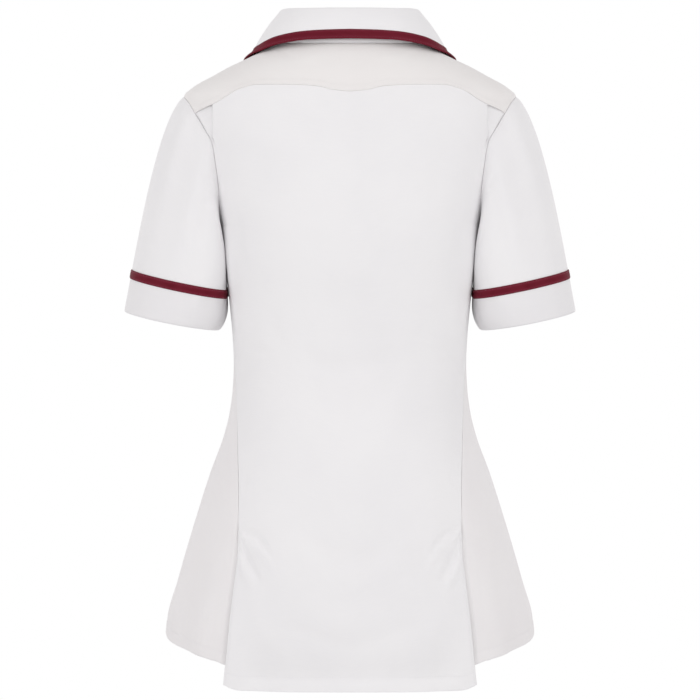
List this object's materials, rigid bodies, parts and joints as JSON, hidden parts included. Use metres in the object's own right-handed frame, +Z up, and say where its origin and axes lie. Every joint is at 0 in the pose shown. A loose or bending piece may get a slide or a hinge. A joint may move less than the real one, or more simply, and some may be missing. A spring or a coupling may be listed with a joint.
{
  "type": "medical tunic",
  "caption": "Women's short-sleeved medical tunic with a turn-down collar, back yoke, action pleats and side vents, edged with dark tape at the collar and sleeves.",
  "frame": {"origin": "middle of the neck opening, level with the shoulders' neck points", "axes": "+Z up the wearer, the fronts face -Y and the back +Y, +X is the wearer's left"},
  "size_m": [0.5242, 0.2465, 0.7771],
  "materials": {
    "white_cloth": "fine polyester-cotton twill, matt with a faint sheen",
    "maroon_tape": "folded woven tape, matt",
    "button": "moulded, slightly glossy"
  },
  "bodies": {
    "root": {"back": "white_cloth", "back_yoke": "white_cloth", "front_left": "white_cloth", "front_right": "white_cloth", "collar": "white_cloth", "sleeve_left": "white_cloth", "sleeve_right": "white_cloth", "cuff_left": "white_cloth", "cuff_right": "white_cloth", "collar_trim": "maroon_tape", "sleeve_trim_left": "maroon_tape", "sleeve_trim_right": "maroon_tape", "button_1": "button", "button_2": "button", "button_3": "button", "button_4": "button", "button_5": "button"}
  },
  "joints": []
}
